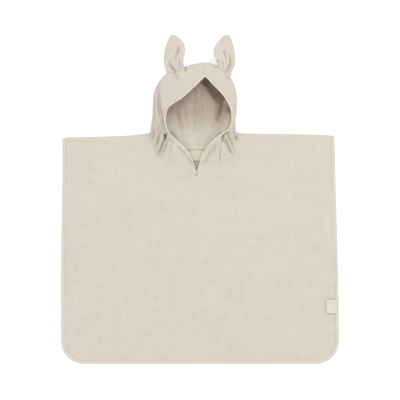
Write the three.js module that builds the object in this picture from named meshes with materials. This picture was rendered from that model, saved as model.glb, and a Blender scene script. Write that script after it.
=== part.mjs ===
// A child's hooded bath poncho in terry cloth, laid flat on its back. Millimetres, +Z up.
// X runs across the shoulders, Y from the hem to the ears, Z up from the surface it lies on.
import * as THREE from "three";
import { mergeVertices } from "three/addons/utils/BufferGeometryUtils.js";

// Cloth and seams
const CLOTH = 2.4; // terry wall of panels and hood
const EAR_CLOTH = 1.8; // each layer of an ear
const FACING_CLOTH = 1.4; // half-moon at the back of the neck
const SEAM_GAP = 0.3; // clearance between pieces that are sewn together
const HEM_WIDTH = 7; // binding round sides, corners and bottom
const HEM_THICK = 3;
const RIM_WIDTH = 4.6; // turned edge of the face opening
const RIM_THICK = 3.2;
const RIM_TIP_WIDTH = 2.4; // the same edge where it narrows into the V
const TIP_MITRE = 8.4; // height of the rim's mitre below the tip of the V
const RIM_GAP = 0.8; // from the rim to the cloth, which tilts beside it
const TIP_GAP = 2.1; // the same measured down the steep sides of the V
const PEAK_MITRE = 6.4; // and above the peak of the hood

// Body
const HEM_Y = -369.5;
const CORNER_R = 51;
const BACK_Z = CLOTH / 2; // middle of the back panel's wall
const LAYER = CLOTH + SEAM_GAP; // rise from one layer to the next
const FRONT_Z = BACK_Z + LAYER;

// Both side edges, from the shoulder down
const SIDES = [
  { y: 148, left: -309.3, right: 302.8 },
  { y: 60, left: -309.6, right: 304.6 },
  { y: -30, left: -310.6, right: 307.2 },
  { y: -110, left: -312, right: 309.8 },
  { y: -190, left: -312.8, right: 311.6 },
  { y: -290, left: -312.2, right: 312.8 },
];

// Shoulder edge of both panels, left to right, up to the foot of the hood on each side
const SHOULDERS = [
  { x: -320, y: 140.2 },
  { x: -225, y: 141.8 },
  { x: -160, y: 144.2 },
  { x: -111, y: 149.5 },
  { x: 81, y: 149.5 },
  { x: 112, y: 148.6 },
  { x: 225, y: 147.6 },
  { x: 320, y: 144.6 },
];

// Visible edge of the face opening, from the tip of the V up to the peak of the hood
const OPENING_LEFT = [
  { x: -7.9, y: 62.8, z: 5.4 },
  { x: -11.7, y: 75.6, z: 7.4 },
  { x: -17.3, y: 91.4, z: 9.8 },
  { x: -23.2, y: 104.2, z: 12.6 },
  { x: -31.7, y: 115.7, z: 16 },
  { x: -43.2, y: 127.1, z: 19.8 },
  { x: -57.6, y: 138.8, z: 24.2 },
  { x: -67.5, y: 150.1, z: 28.6 },
  { x: -74, y: 164.5, z: 33 },
  { x: -76.3, y: 180.5, z: 37 },
  { x: -74.3, y: 195.1, z: 40 },
  { x: -69.1, y: 206.8, z: 42.4 },
  { x: -54.7, y: 216.9, z: 44 },
  { x: -37.4, y: 228.4, z: 45 },
  { x: -20.3, y: 244.1, z: 44.6 },
  { x: -2.9, y: 259.9, z: 43.8 },
  { x: 9.9, y: 274.3, z: 43 },
];
const OPENING_RIGHT = [
  { x: -7.9, y: 62.8, z: 5.4 },
  { x: -2.9, y: 77, z: 7.4 },
  { x: -0.2, y: 90, z: 9.8 },
  { x: 7, y: 107.1, z: 12.8 },
  { x: 14.2, y: 117.2, z: 15.8 },
  { x: 24.3, y: 130.1, z: 19.4 },
  { x: 38.7, y: 141.5, z: 23.6 },
  { x: 52.9, y: 151.7, z: 28 },
  { x: 64.4, y: 161.8, z: 31.8 },
  { x: 69.5, y: 176, z: 35.4 },
  { x: 70, y: 190.6, z: 38.4 },
  { x: 67.5, y: 203, z: 40.8 },
  { x: 61.7, y: 216.9, z: 42.8 },
  { x: 51.5, y: 232.7, z: 44.2 },
  { x: 41.4, y: 244.1, z: 44.8 },
  { x: 28.6, y: 257, z: 44.4 },
  { x: 18.5, y: 268.4, z: 43.6 },
  { x: 9.9, y: 274.3, z: 43 },
];
const NECK_POINT = 7; // row of both tables where the neck seam meets the opening

// Hood sections from the neck to the peak. out is the fold round the outside, seam the centre
// back seam, lap how far the back layer takes to rise to the fold, lip the same for the front.
const HOOD_LEFT = [
  { outX: -110.5, outY: 151, outZ: 12, seamX: -4.5, seamY: 113.4, seamZ: 1.2, lap: 46, lip: 15, bow: 17 },
  { outX: -109.6, outY: 165, outZ: 14, seamX: -4.5, seamY: 130, seamZ: 1.2, lap: 50, lip: 17, bow: 9 },
  { outX: -107, outY: 181, outZ: 16, seamX: -4.5, seamY: 150, seamZ: 1.2, lap: 52, lip: 18, bow: 4 },
  { outX: -105.2, outY: 205, outZ: 17, seamX: -4.5, seamY: 176, seamZ: 1.6, lap: 52, lip: 18, bow: 0 },
  { outX: -104, outY: 228, outZ: 17.6, seamX: -4.5, seamY: 202, seamZ: 3, lap: 48, lip: 18, bow: 0 },
  { outX: -100, outY: 247, outZ: 18.4, seamX: -4.5, seamY: 226, seamZ: 5.4, lap: 40, lip: 18, bow: 0 },
  { outX: -91, outY: 265.5, outZ: 19.6, seamX: -4.5, seamY: 247, seamZ: 8.4, lap: 30, lip: 19, bow: 0 },
  { outX: -76, outY: 280.5, outZ: 21, seamX: -4.5, seamY: 265, seamZ: 11.4, lap: 20, lip: 20, bow: 0 },
  { outX: -51, outY: 291, outZ: 22.6, seamX: -4.3, seamY: 280, seamZ: 14, lap: 14, lip: 20, bow: 0 },
  { outX: -26, outY: 299.2, outZ: 24, seamX: -2.5, seamY: 291, seamZ: 15.6, lap: 12, lip: 20, bow: 0 },
];
const HOOD_RIGHT = [
  { outX: 80.6, outY: 151, outZ: 12, seamX: -4.5, seamY: 113.4, seamZ: 1.2, lap: 40, lip: 14, bow: 17 },
  { outX: 78.6, outY: 163, outZ: 14, seamX: -4.5, seamY: 130, seamZ: 1.2, lap: 42, lip: 14, bow: 9 },
  { outX: 79, outY: 180, outZ: 16, seamX: -4.5, seamY: 150, seamZ: 1.2, lap: 43, lip: 10, bow: 4 },
  { outX: 82, outY: 203, outZ: 17, seamX: -4.5, seamY: 176, seamZ: 1.6, lap: 42, lip: 10, bow: 0 },
  { outX: 82.2, outY: 229, outZ: 17.6, seamX: -4.5, seamY: 202, seamZ: 3, lap: 40, lip: 14, bow: 0 },
  { outX: 79, outY: 250, outZ: 18.4, seamX: -4.5, seamY: 226, seamZ: 5.4, lap: 34, lip: 17, bow: 0 },
  { outX: 72.5, outY: 267, outZ: 19.6, seamX: -4.5, seamY: 247, seamZ: 8.4, lap: 26, lip: 19, bow: 0 },
  { outX: 62, outY: 281.5, outZ: 21, seamX: -4.5, seamY: 265, seamZ: 11.4, lap: 18, lip: 20, bow: 0 },
  { outX: 50, outY: 292.5, outZ: 22.6, seamX: -4.3, seamY: 280, seamZ: 14, lap: 14, lip: 20, bow: 0 },
  { outX: 36, outY: 299.8, outZ: 24, seamX: -2.5, seamY: 291, seamZ: 15.6, lap: 12, lip: 20, bow: 0 },
];
// Crown of the hood, from the peak to the pole where all sections close
const CROWN = [
  { left: -26, right: 36, outY: 299.4, backX: -2.5, backY: 291, backZ: 15.6, x: 9.9, y: 281, z: 43 },
  { left: -11, right: 27, outY: 303.8, backX: 1, backY: 299.5, backZ: 16.6, x: 9.9, y: 289, z: 41 },
  { left: 0.5, right: 18, outY: 306, backX: 5.5, backY: 304.2, backZ: 18.8, x: 9.8, y: 297.5, z: 36 },
  { left: 9.6, right: 9.6, outY: 306.9, backX: 9.6, backY: 306.9, backZ: 25, x: 9.6, y: 306.9, z: 25 },
];

const CROWN_FOLD_Z = 25; // height of the outer fold round the crown

// Largest folds, each a soft ridge (or a trough where high is negative) along a line.
// x0, y0 to x1, y1 is the line, wide its half width, high its height, on one layer.
const FOLDS = [
  { on: "hoodFront", x0: -79, y0: 160, x1: -92.5, y1: 258, wide: 5, high: -3.2 },
  { on: "hoodFront", x0: -74, y0: 166, x1: -86, y1: 250, wide: 4, high: 1.8 },
  { on: "hoodBack", x0: -66, y0: 222, x1: -45, y1: 128, wide: 9, high: 4 },
  { on: "hoodBack", x0: 56, y0: 226, x1: 43, y1: 140, wide: 9, high: 5 },
  { on: "hoodBack", x0: 22, y0: 226, x1: 20, y1: 166, wide: 12, high: 1.8 },
  { on: "neck", x0: -86, y0: 158, x1: -97, y1: 104, wide: 6, high: 3.6 },
  { on: "neck", x0: -74, y0: 144, x1: -90, y1: 96, wide: 5, high: 2.6 },
  { on: "neck", x0: -103, y0: 158, x1: -112, y1: 122, wide: 6, high: 2 },
  { on: "neck", x0: -79.5, y0: 158, x1: -91, y1: 104, wide: 4, high: -4.4 },
  { on: "neck", x0: -95, y0: 158, x1: -102, y1: 118, wide: 4, high: -2.6 },
  { on: "front", x0: -52, y0: 124, x1: -22, y1: 80, wide: 9, high: -2.4 },
  { on: "front", x0: -66, y0: 138, x1: -66, y1: 96, wide: 8, high: -1.8 },
  { on: "front", x0: 30, y0: 120, x1: 8, y1: 72, wide: 8, high: -2.4 },
  { on: "front", x0: 47, y0: 140, x1: 46, y1: 84, wide: 7, high: 2.8 },
  { on: "neck", x0: 64, y0: 158, x1: 74, y1: 104, wide: 6, high: 3 },
  { on: "front", x0: 52, y0: 144, x1: 56, y1: 104, wide: 5, high: -4 },
  { on: "neck", x0: 75, y0: 158, x1: 88, y1: 122, wide: 4, high: -2.6 },
];

// Rise of the front panel at the neck, and how far down it fades
const FRONT_FADE = 84;
const BACK_FADE = 34;
const V_FADE = { centre: -8, half: 75, down: 38 }; // the front one fades faster below the V
const SHOULDER_FADE = 46;
const SEAM_SHOWS = 26; // the hood's round side shows in the panel this far below the seam
const EVEN_STEP = 6; // the panel's rise is evened out over four of these to each side
const RIM_CLEAR = 8; // folds die out this far from the face opening
const PULL = 270; // how far down the rows bend with the neck line
const SIDE_COLUMNS = [0, 0.26, 0.5, 0.7, 0.85, 0.95]; // shares of the way from side to neck

// Half-moon facing at the back of the neck
const FACING = { left: -78, right: 62, centre: -6, depth: 18.5, ends: 3, seam: 1.9 };

// Label caught in the right side hem
const LABEL = { left: 284.5, top: -225, bottom: -255.5, thick: 0.7, bend: 9, overHem: 4.6 };

// Ears, from the base to the tip: side edges of the outline and how far the front layer stands
// off the back one. The base sits on the hood, the tip on the surface.
const EAR_LEFT = [
  { lx: -72.5, ly: 277.6, rx: -34.5, ry: 283, puff: 0.4 },
  { lx: -75.5, ly: 289, rx: -33.8, ry: 292.5, puff: 4.6 },
  { lx: -79.6, ly: 304, rx: -36.8, ry: 304, puff: 6.2 },
  { lx: -80.8, ly: 318, rx: -37.2, ry: 318, puff: 6.4 },
  { lx: -79.2, ly: 334, rx: -33.2, ry: 334, puff: 6.6 },
  { lx: -75, ly: 350, rx: -34.6, ry: 348, puff: 6 },
  { lx: -70.4, ly: 362, rx: -42, ry: 360.6, puff: 4.6 },
  { lx: -65.5, ly: 368, rx: -52, ry: 366.4, puff: 0.2 },
];
const EAR_RIGHT = [
  { lx: 34.5, ly: 283, rx: 67.5, ry: 272, puff: 0.4 },
  { lx: 37, ly: 292.5, rx: 70.5, ry: 285.5, puff: 4.6 },
  { lx: 38.4, ly: 304, rx: 77.2, ry: 300, puff: 6.2 },
  { lx: 35.6, ly: 316, rx: 79.2, ry: 314, puff: 6.4 },
  { lx: 30.4, ly: 331, rx: 78.6, ry: 330, puff: 6.6 },
  { lx: 34.6, ly: 345.6, rx: 74.8, ry: 348, puff: 6 },
  { lx: 45, ly: 359.6, rx: 70.6, ry: 361, puff: 4.6 },
  { lx: 53.5, ly: 366.6, rx: 65.6, ry: 367.6, puff: 0.2 },
];
// Edge of the crown under each ear, and the back layer's height by distance past that edge
const CROWN_EDGE_LEFT = { x0: -77, y0: 279, x1: -31, y1: 298.5 };
const CROWN_EDGE_RIGHT = { x0: 36, y0: 300, x1: 68, y1: 274 };
const EAR_DRAPE = [
  { past: -30, z: 46.3 },
  { past: -12, z: 45.9 },
  { past: -4, z: 44.1 },
  { past: 4, z: 39.9 },
  { past: 12, z: 31.5 },
  { past: 20, z: 21.2 },
  { past: 28, z: 12.6 },
  { past: 36, z: 6.6 },
  { past: 46, z: 2.6 },
  { past: 58, z: 1.1 },
  { past: 100, z: 1.1 },
];
const EAR_STEPS = { along: 14, across: 8 };
const EAR_SLOPE_SPAN = 8; // the drape's steepness is taken over this length
const EAR_FOLDS = {
  left: [
    { x0: -62, y0: 284, x1: -68, y1: 322, wide: 6, high: -3 },
    { x0: -55, y0: 330, x1: -50, y1: 342, wide: 5, high: -2.2 },
    { x0: -53, y0: 288, x1: -52, y1: 318, wide: 5, high: 2 },
  ],
  right: [
    { x0: 60, y0: 282, x1: 66, y1: 322, wide: 6, high: -3 },
    { x0: 47, y0: 296, x1: 50, y1: 318, wide: 5, high: -1.8 },
    { x0: 54, y0: 290, x1: 57, y1: 320, wide: 5, high: 2 },
  ],
};

// Colours measured from the cloth
const TERRY = { color: 0xddd5c7, roughness: 0.95, metalness: 0 };
const EDGE = { color: 0xe4dccf, roughness: 0.9, metalness: 0 };
const TAPE = { color: 0xe6decf, roughness: 0.7, metalness: 0 };

const vec = (x, y, z) => new THREE.Vector3(x, y, z);
const clamp01 = (v) => Math.min(1, Math.max(0, v));
const mix = (a, b, t) => a + (b - a) * t;
// Eases from 1 to 0 as q goes from 0 to 1, level at both ends
const fade = (q) => 1 - clamp01(q) ** 2 * (3 - 2 * clamp01(q));

// Height of a column of a table at any x, straight between rows
function lookUp(table, key, value, at) {
  const rising = table[0][key] < table.at(-1)[key];
  const rows = rising ? table : [...table].reverse();
  const next = Math.min(rows.length - 1, Math.max(1, rows.findIndex((row) => row[key] > at)));
  const after = rows.at(-1)[key] <= at ? rows.length - 1 : next;
  const [a, b] = [rows[after - 1], rows[after]];
  return mix(a[value], b[value], clamp01((at - a[key]) / (b[key] - a[key])));
}

// A table's column as a smooth function of the row, which may be between two rows
function smoothColumn(table, key) {
  const curve = new THREE.CatmullRomCurve3(table.map((row) => vec(row[key], 0, 0)));
  curve.curveType = "catmullrom";
  return (row) => curve.getPoint(row / (table.length - 1)).x;
}

// Height added at x, y by the folds of one layer
function foldHeight(folds, x, y) {
  return folds.reduce((sum, f) => {
    const [dx, dy] = [f.x1 - f.x0, f.y1 - f.y0];
    const length = Math.hypot(dx, dy);
    const alongLine = ((x - f.x0) * dx + (y - f.y0) * dy) / length;
    const across = ((x - f.x0) * dy - (y - f.y0) * dx) / length;
    const beyond = Math.max(0, -alongLine, alongLine - length);
    const taper = mix(1, 0.35, clamp01(alongLine / length)) * fade(beyond / (1.6 * f.wide));
    return sum + f.high * taper * fade(Math.abs(across) / (1.6 * f.wide));
  }, 0);
}
const foldsOn = (layer) => FOLDS.filter((fold) => fold.on === layer);
// Folds that run from the hood across the neck seam. share is less where the cloth turns down,
// and fromRim is the distance to the face opening, where they die out.
const neckFold = (x, y, share, fromRim) =>
  foldHeight(foldsOn("neck"), x, y) * share ** 2 * (1 - fade(fromRim / RIM_CLEAR));

// A cloth wall: two skins half a thickness either side of a grid of points, closed round the
// edge. rows[j][i] runs with i across j. At a seam, turn may change a point's normal, and keep
// may hold a skin's point back.
function wall(rows, thickness, { turn = (normal) => normal, keep = (skin) => skin } = {}) {
  const [last, width] = [rows.length - 1, rows[0].length - 1];
  const at = (j, i) => rows[Math.min(last, Math.max(0, j))][Math.min(width, Math.max(0, i))];
  const skins = [1, -1].map((side) =>
    rows.map((row, j) =>
      row.map((point, i) => {
        const across = at(j, i + 1).clone().sub(at(j, i - 1));
        const up = at(j + 1, i).clone().sub(at(j - 1, i));
        const normal = turn(across.cross(up), up, j, i).normalize();
        return keep(point.clone().addScaledVector(normal, (side * thickness) / 2), j, i);
      }),
    ),
  );
  return closedSkins(skins[0], skins[1]);
}

// Joins an outer and an inner grid of points into one closed geometry
function closedSkins(outer, inner) {
  const corners = [];
  const quad = (a, b, c, d) => corners.push(a, b, c, a, c, d);
  const [last, width] = [outer.length - 1, outer[0].length - 1];
  for (let j = 0; j < last; j++)
    for (let i = 0; i < width; i++) {
      quad(outer[j][i], outer[j][i + 1], outer[j + 1][i + 1], outer[j + 1][i]);
      quad(inner[j][i], inner[j + 1][i], inner[j + 1][i + 1], inner[j][i + 1]);
    }
  for (let j = 0; j < last; j++) {
    quad(outer[j][0], outer[j + 1][0], inner[j + 1][0], inner[j][0]);
    quad(outer[j][width], inner[j][width], inner[j + 1][width], outer[j + 1][width]);
  }
  for (let i = 0; i < width; i++) {
    quad(outer[0][i], inner[0][i], inner[0][i + 1], outer[0][i + 1]);
    quad(outer[last][i], outer[last][i + 1], inner[last][i + 1], inner[last][i]);
  }
  return withoutSlivers(corners);
}

// Merges equal corners and leaves out triangles that closed up at a pole
function withoutSlivers(corners) {
  const loose = new THREE.BufferGeometry().setFromPoints(corners);
  const merged = mergeVertices(loose, 1e-3);
  const index = [...merged.index.array];
  const kept = [];
  for (let k = 0; k < index.length; k += 3) {
    const [a, b, c] = index.slice(k, k + 3);
    if (a !== b && b !== c && a !== c) kept.push(a, b, c);
  }
  merged.setIndex(kept);
  return merged;
}

// A soft band: a rounded section carried along a line of points, with one outward direction
// in plan and one width at each point
function band(points, outward, widths, thickness) {
  const section = [
    [-1, -0.45],
    [-0.8, -1],
    [0.8, -1],
    [1, -0.45],
    [1, 0.45],
    [0.8, 1],
    [-0.8, 1],
    [-1, 0.45],
  ];
  const rings = points.map((point, j) =>
    section.map(([side, rise]) =>
      point
        .clone()
        .addScaledVector(outward[j], (side * widths[j]) / 2)
        .add(vec(0, 0, (rise * thickness) / 2)),
    ),
  );
  const corners = [];
  const count = section.length;
  rings.slice(1).forEach((ring, j) => {
    for (let i = 0; i < count; i++) {
      const [a, b] = [rings[j][i], rings[j][(i + 1) % count]];
      const [c, d] = [ring[(i + 1) % count], ring[i]];
      corners.push(a, c, b, a, d, c);
    }
  });
  for (let i = 1; i < count - 1; i++) {
    corners.push(rings[0][0], rings[0][i], rings[0][i + 1]);
    corners.push(rings.at(-1)[0], rings.at(-1)[i + 1], rings.at(-1)[i]);
  }
  return withoutSlivers(corners);
}

// Turns a geometry the right way out if its volume comes out negative
function facingOut(geometry) {
  const position = geometry.attributes.position;
  const index = [...geometry.index.array];
  const corner = (k) => new THREE.Vector3().fromBufferAttribute(position, index[k]);
  let volume = 0;
  for (let k = 0; k < index.length; k += 3)
    volume += corner(k).dot(corner(k + 1).cross(corner(k + 2)));
  if (volume < 0) geometry.setIndex(index.reverse());
  return geometry;
}

const poncho = new THREE.Group();

function addPiece(name, geometry, look) {
  const closed = facingOut(geometry);
  closed.computeVertexNormals();
  const mesh = new THREE.Mesh(closed, new THREE.MeshStandardMaterial(look));
  mesh.name = name;
  poncho.add(mesh);
}

// Unit direction across a line of points in plan, on the side given by sign
function acrossLine(points, sign) {
  return points.map((_, j) => {
    const before = points[Math.max(0, j - 1)];
    const after = points[Math.min(points.length - 1, j + 1)];
    return vec((after.y - before.y) * sign, (before.x - after.x) * sign, 0).normalize();
  });
}

// Face opening: the rim lies outside the visible edge, and the cloth starts a gap beyond it
const V_STEPS = 2 * NECK_POINT; // steps of the V from its tip to the neck seam
const HOOD_STEPS = 18; // steps of the hood from the neck seam to the peak
const CROWN_STEPS = 6;
const WIDEN_STEPS = 8; // steps over which the rim reaches its full width

function openingEdge(table, side) {
  const [x, y, z] = ["x", "y", "z"].map((key) => smoothColumn(table, key));
  const at = (row) => vec(x(row), y(row), z(row));
  const last = table.length - 1;
  const edge = Array.from({ length: V_STEPS + HOOD_STEPS + 1 }, (_, j) =>
    at(
      j < V_STEPS
        ? (j / V_STEPS) * NECK_POINT
        : mix(NECK_POINT, last, (j - V_STEPS) / HOOD_STEPS),
    ),
  );
  const outward = acrossLine(edge, side);
  const widths = edge.map((_, j) => mix(RIM_TIP_WIDTH, RIM_WIDTH, clamp01(j / WIDEN_STEPS)));
  outward[0].set(0, -1, 0);
  widths[0] = TIP_MITRE;
  outward[edge.length - 1].set(0, 1, 0);
  widths[edge.length - 1] = PEAK_MITRE;
  const cloth = edge.map((point, j) =>
    point.clone().addScaledVector(outward[j], widths[j] + (j ? RIM_GAP : TIP_GAP)),
  );
  return { edge, outward, widths, cloth };
}
const openingLeft = openingEdge(OPENING_LEFT, -1);
const openingRight = openingEdge(OPENING_RIGHT, 1);

// Hood halves: each section runs from the back seam under the head, round the outer fold and
// over the front to the opening, or above the peak to the front seam
const BACK_STEPS = 7;
const FOLD_STEPS = 4;
const FRONT_STEPS = 4;

function hoodSection(s) {
  const points = [];
  const reach = s.out.clone().sub(s.back).setZ(0);
  const over = s.front.clone().sub(s.out).setZ(0);
  const lap = Math.min(s.lap, 0.8 * reach.length());
  const lip = Math.min(s.lip, 0.7 * over.length());
  const lowAt = (share) => {
    const plan = s.back.clone().lerp(s.out, share);
    const distance = (1 - share) * reach.length();
    const level = distance >= lap ? 1 : Math.sqrt(1 - (1 - distance / lap) ** 2);
    const bow = s.bow * 4 * share * (1 - share);
    const z = mix(s.out.z, s.back.z, level);
    const y = plan.y - bow;
    return vec(plan.x, y, z + foldHeight(foldsOn("hoodBack"), plan.x, y) * level ** 3);
  };
  const highAt = (distance) => {
    const plan = s.out.clone().lerp(s.front, distance / over.length());
    const rise = distance >= lip ? 1 : Math.sqrt(1 - (1 - distance / lip) ** 2);
    const z = mix(s.out.z, s.front.z, rise);
    const fold = foldHeight(foldsOn("hoodFront"), plan.x, plan.y) * rise ** 2;
    const fromRim = over.length() - distance;
    return vec(plan.x, plan.y, z + fold + neckFold(plan.x, plan.y, rise, fromRim));
  };
  for (let i = 0; i < BACK_STEPS; i++)
    points.push(lowAt((i / BACK_STEPS) * (1 - lap / reach.length())));
  for (let i = 0; i < FOLD_STEPS; i++) {
    const turn = ((1 - i / FOLD_STEPS) * Math.PI) / 2;
    points.push(lowAt(1 - (lap * (1 - Math.cos(turn))) / reach.length()));
  }
  for (let i = 0; i < FOLD_STEPS; i++) {
    const turn = ((i / FOLD_STEPS) * Math.PI) / 2;
    points.push(highAt(lip * (1 - Math.cos(turn))));
  }
  for (let i = 0; i <= FRONT_STEPS; i++)
    points.push(highAt(mix(lip, over.length(), i / FRONT_STEPS)));
  return points;
}

function hoodRows(table, opening, side) {
  const rows = [];
  const read = Object.fromEntries(
    Object.keys(table[0]).map((key) => [key, smoothColumn(table, key)]),
  );
  const crown = Object.fromEntries(
    Object.keys(CROWN[0]).map((key) => [key, smoothColumn(CROWN, key)]),
  );
  for (let j = 0; j <= HOOD_STEPS; j++) {
    const row = (j / HOOD_STEPS) * (table.length - 1);
    rows.push(
      hoodSection({
        back: vec(read.seamX(row), read.seamY(row), read.seamZ(row)),
        out: vec(read.outX(row), read.outY(row), read.outZ(row)),
        front: opening.cloth[V_STEPS + j],
        lap: read.lap(row),
        lip: read.lip(row),
        bow: read.bow(row),
      }),
    );
  }
  const edgeKey = side < 0 ? "left" : "right";
  const near = table.at(-1);
  for (let j = 1; j < CROWN_STEPS; j++) {
    const row = (j / CROWN_STEPS) * (CROWN.length - 1);
    rows.push(
      hoodSection({
        back: vec(crown.backX(row), crown.backY(row), crown.backZ(row)),
        out: vec(crown[edgeKey](row), crown.outY(row), CROWN_FOLD_Z),
        front: vec(crown.x(row), crown.y(row), crown.z(row)),
        lap: near.lap,
        lip: near.lip,
        bow: 0,
      }),
    );
  }
  const pole = CROWN.at(-1);
  rows.push(rows[0].map(() => vec(pole.backX, pole.backY, pole.backZ)));
  // The seam runs aslant over the crown, so the halves stand further apart there along X
  rows.forEach((row, j) => {
    const apart = vec(side * SEAM_GAP * (j < HOOD_STEPS ? 0.5 : 1.5), 0, 0);
    row.forEach((point) => point.add(apart));
  });
  return rows;
}

const hoodLeft = hoodRows(HOOD_LEFT, openingLeft, -1);
const hoodRight = hoodRows(HOOD_RIGHT, openingRight, 1);

// Along the centre seam a wall's edge stays in its own plane, and at the pole it faces up the
// crown. No skin passes the seam on its own row.
function centreSeam(rows, side) {
  const crownRow = HOOD_STEPS;
  const pole = HOOD_STEPS + CROWN_STEPS;
  const frontEdge = BACK_STEPS + 2 * FOLD_STEPS + FRONT_STEPS;
  const within = side < 0 ? Math.min : Math.max;
  return {
    turn: (normal, up, j, i) => {
      if (j === pole) return normal.set(0, -side, 0);
      const onSeam = i === 0 || (j >= crownRow && i === frontEdge);
      const inPlane = vec(0, -up.z, up.y);
      return onSeam ? inPlane.multiplyScalar(Math.sign(inPlane.dot(normal))) : normal;
    },
    keep: (skin, j, i) => {
      const seam = rows[j][i < BACK_STEPS + FOLD_STEPS ? 0 : frontEdge];
      return j < crownRow ? skin : skin.setX(within(skin.x, seam.x));
    },
  };
}
addPiece("hood_left", wall(hoodLeft, CLOTH, centreSeam(hoodLeft, -1)), TERRY);
addPiece("hood_right", wall(hoodRight, CLOTH, centreSeam(hoodRight, 1)), TERRY);

// Rims of the face opening, each from the tip of the V to the peak
for (const [name, opening, side] of [
  ["opening_edge_left", openingLeft, -1],
  ["opening_edge_right", openingRight, 1],
]) {
  const middles = opening.edge.map((point, j) =>
    point.clone().addScaledVector(opening.outward[j], opening.widths[j] / 2),
  );
  const apart = vec((side * SEAM_GAP) / 2, 0, 0);
  [middles[0], middles.at(-1)].forEach((point) => point.add(apart));
  addPiece(name, band(middles, opening.outward, opening.widths, RIM_THICK), EDGE);
}

// Body outline
const leftAt = (y) => lookUp(SIDES, "y", "left", y);
const rightAt = (y) => lookUp(SIDES, "y", "right", y);

// Distance that the rounded bottom corner takes off each side at height y
function cornerCut(y, inset) {
  const radius = CORNER_R - inset;
  const above = HEM_Y + CORNER_R - y;
  return above <= 0 ? 0 : radius - Math.sqrt(Math.max(0, radius ** 2 - above ** 2));
}

// The neck line of each panel: the hood's own edge a seam gap away, less the neck folds, which
// the panel adds again, and for the front panel the cloth edge of the V
const NECK_DROP = 1; // a seam gap on the slant
const BACK_NECK_DROP = 1.3; // and on the steeper slant of the back layer
function hoodEdge(rows, part) {
  const turn = BACK_STEPS + FOLD_STEPS;
  if (part === "back") return rows[0].slice(0, turn + 1).map((p) => vec(p.x, p.y - BACK_NECK_DROP, p.z));
  const front = rows[0].slice(turn);
  return front.map((p, i) => {
    const share = i < FOLD_STEPS ? Math.sin(((i / FOLD_STEPS) * Math.PI) / 2) : 1;
    const fromRim = Math.hypot(p.x - front.at(-1).x, p.y - front.at(-1).y);
    return vec(p.x, p.y - NECK_DROP, p.z - neckFold(p.x, p.y, share, fromRim));
  });
}
const frontNeck = [
  ...hoodEdge(hoodLeft, "front"),
  ...openingLeft.cloth.slice(0, V_STEPS).reverse(),
  ...openingRight.cloth.slice(1, V_STEPS),
  ...hoodEdge(hoodRight, "front").reverse(),
];
const backNeck = [
  ...hoodEdge(hoodLeft, "back").reverse(),
  ...hoodEdge(hoodRight, "back").slice(1),
];
const V_SPAN = { from: openingLeft.cloth[V_STEPS].x, to: openingRight.cloth[V_STEPS].x };
const SHOULDER_Y = 149.5; // highest level of a panel's rows, at the foot of the hood

// Top edge of a panel at x: the shoulders, and between them the line of the neck
function topEdge(neck, x) {
  const inNeck = x > neck[0].x && x < neck.at(-1).x;
  if (inNeck) return { y: lookUp(neck, "x", "y", x), z: lookUp(neck, "x", "z", x) };
  return { y: lookUp(SHOULDERS, "x", "y", x), z: neck[x < 0 ? 0 : neck.length - 1].z };
}

// How far the hood holds a panel's top edge up at x, and the same evened out along the edge
function edgeLift(panel, x) {
  const beyond = Math.max(0, panel.neck[0].x - x, x - panel.neck.at(-1).x);
  const lift = topEdge(panel.neck, x).z - panel.drop - panel.level;
  return Math.max(0, lift) * fade(beyond / SHOULDER_FADE);
}
function softLift(panel, x) {
  const offsets = [-4, -3, -2, -1, 0, 1, 2, 3, 4].map((step) => step * EVEN_STEP);
  return offsets.reduce((sum, by) => sum + edgeLift(panel, x + by) / offsets.length, 0);
}

// Height of a panel at x, y: level, and raised at the neck to the seam with the hood
function panelHeight(panel, x, y) {
  const edge = topEdge(panel.neck, x);
  const down = edge.y - y;
  const soft = mix(edgeLift(panel, x), softLift(panel, x), 1 - fade(down / SEAM_SHOWS));
  const raised = panel.level + soft * fade(down / panel.fadeDown(x));
  const outside = Math.max(0, V_SPAN.from - x, x - V_SPAN.to);
  const fromRim = Math.hypot(outside, down);
  return Math.max(panel.floor(x, y), raised + panel.folds(x, y, fromRim));
}

// Across a panel, columns at the points of its neck, and wider steps out to the sides
function panelRows(panel) {
  const inset = HEM_WIDTH + SEAM_GAP;
  const pull = (y) => 1 - fade((y - (SHOULDER_Y - PULL)) / PULL);
  const neckXs = panel.neck.map((point) => point.x);
  const [first, final] = [neckXs[0], neckXs.at(-1)];
  return panelLevels(panel.levels).map((nominal) => {
    const cut = cornerCut(nominal, inset);
    const [left, right] = [leftAt(nominal) + inset + cut, rightAt(nominal) - inset - cut];
    const xs = [
      ...SIDE_COLUMNS.map((share) => mix(left, first, share)),
      ...neckXs,
      ...SIDE_COLUMNS.map((share) => mix(right, final, share)).reverse(),
    ];
    return xs.map((x) => {
      const edge = topEdge(panel.neck, x);
      const y = nominal - pull(nominal) * (SHOULDER_Y - edge.y);
      return vec(x, y, panelHeight(panel, x, y));
    });
  });
}

// Heights of the rows up a panel: the rounded corners, then steps below the shoulder
function panelLevels(steps) {
  const radius = CORNER_R - HEM_WIDTH - SEAM_GAP;
  const corner = [0, 16, 36, 60, 90].map(
    (turn) => HEM_Y + CORNER_R - radius * Math.cos((turn * Math.PI) / 180),
  );
  return [...corner, ...steps.map((below) => SHOULDER_Y - below)];
}

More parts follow.
